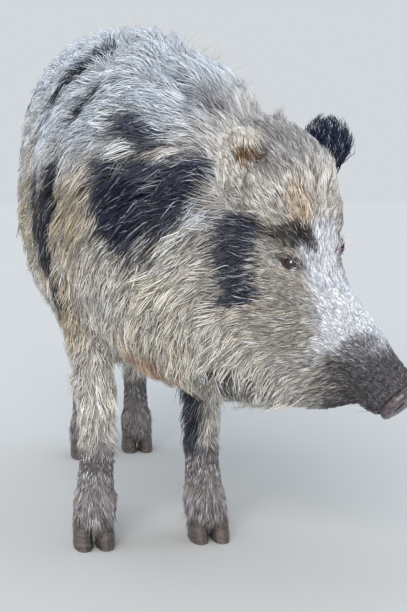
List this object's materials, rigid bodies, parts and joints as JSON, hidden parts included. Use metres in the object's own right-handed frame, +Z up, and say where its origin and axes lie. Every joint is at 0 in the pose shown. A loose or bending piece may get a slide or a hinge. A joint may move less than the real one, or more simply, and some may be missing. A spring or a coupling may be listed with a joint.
{
  "type": "wild boar model",
  "caption": "Life-size still model of a standing wild boar with a shaggy pale and blue-black coat, its head lowered and turned to its left.",
  "frame": {"origin": "on the floor, under the middle of the model's box", "axes": "+Z up, the boar faces -Y, and its left side is towards +X"},
  "size_m": [0.5032, 1.202, 0.7999],
  "materials": {
    "coat": "shaggy matt hair, cream to tan with blue-black patches",
    "dark_coat": "blue-black matt hair with a few pale tips",
    "leg_coat": "short coarse grey-brown hair, pale towards the elbow",
    "nose_leather": "moist wrinkled grey-brown skin",
    "horn": "dull dark hoof horn with fine growth lines",
    "eye": "wet dark brown iris under a clear cornea"
  },
  "bodies": {
    "root": {"trunk": "coat", "neck": "coat", "head": "coat", "ear_right": "coat", "tail": "coat", "fore_left_upper_leg": "coat", "fore_right_upper_leg": "coat", "hind_left_upper_leg": "coat", "hind_right_upper_leg": "coat", "ear_left": "dark_coat", "tail_tassel": "dark_coat", "fore_left_lower_leg": "leg_coat", "fore_right_lower_leg": "leg_coat", "hind_left_lower_leg": "leg_coat", "hind_right_lower_leg": "leg_coat", "nose_disc": "nose_leather", "fore_left_hoof_inner": "horn", "fore_left_hoof_outer": "horn", "fore_left_dewclaw_inner": "horn", "fore_left_dewclaw_outer": "horn", "fore_right_hoof_inner": "horn", "fore_right_hoof_outer": "horn", "fore_right_dewclaw_inner": "horn", "fore_right_dewclaw_outer": "horn", "hind_left_hoof_inner": "horn", "hind_left_hoof_outer": "horn", "hind_left_dewclaw_inner": "horn", "hind_left_dewclaw_outer": "horn", "hind_right_hoof_inner": "horn", "hind_right_hoof_outer": "horn", "hind_right_dewclaw_inner": "horn", "hind_right_dewclaw_outer": "horn", "eye_left": "eye", "eye_right": "eye"}
  },
  "joints": []
}
